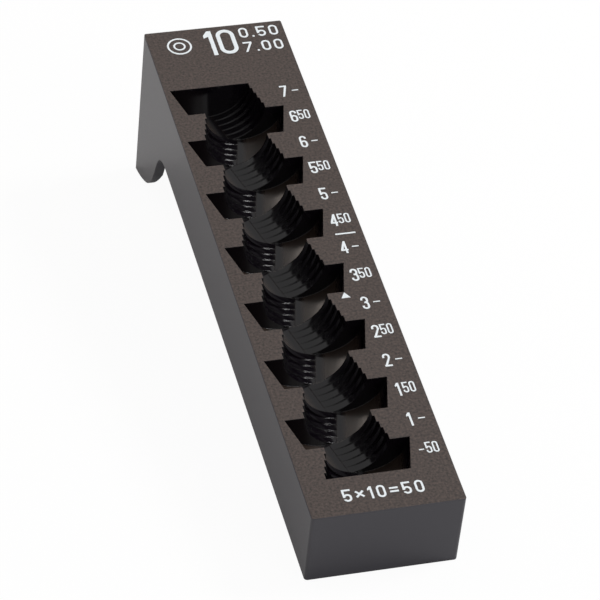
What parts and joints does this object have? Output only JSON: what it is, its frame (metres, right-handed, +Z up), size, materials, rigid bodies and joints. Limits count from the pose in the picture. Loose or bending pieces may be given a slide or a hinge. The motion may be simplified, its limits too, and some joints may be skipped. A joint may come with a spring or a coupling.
{
  "type": "coin counting rack",
  "caption": "Sloping plastic rack that holds one kind of coin on edge in staggered groups beside a printed scale, for counting by hand.",
  "frame": {"origin": "bottom centre of the bounding box, on the surface that the rack stands on", "axes": "+Z up as the rack stands, +Y to the rear where the leg is, +X to the side that carries the scale"},
  "size_m": [0.0364, 0.1766, 0.0451],
  "materials": {
    "plastic": "fine spark-eroded texture on the top face, satin sides, glossy coin channel",
    "ink": "thin white print, satin"
  },
  "bodies": {
    "root": {"rack_body": "plastic", "coin_sign_print": "ink", "coin_value_print": "ink", "rack_values_print": "ink", "whole_amounts_print": "ink", "half_amounts_print": "ink", "amount_dashes_print": "ink", "level_line_print": "ink", "arrow_print": "ink", "group_sum_print": "ink"}
  },
  "joints": []
}
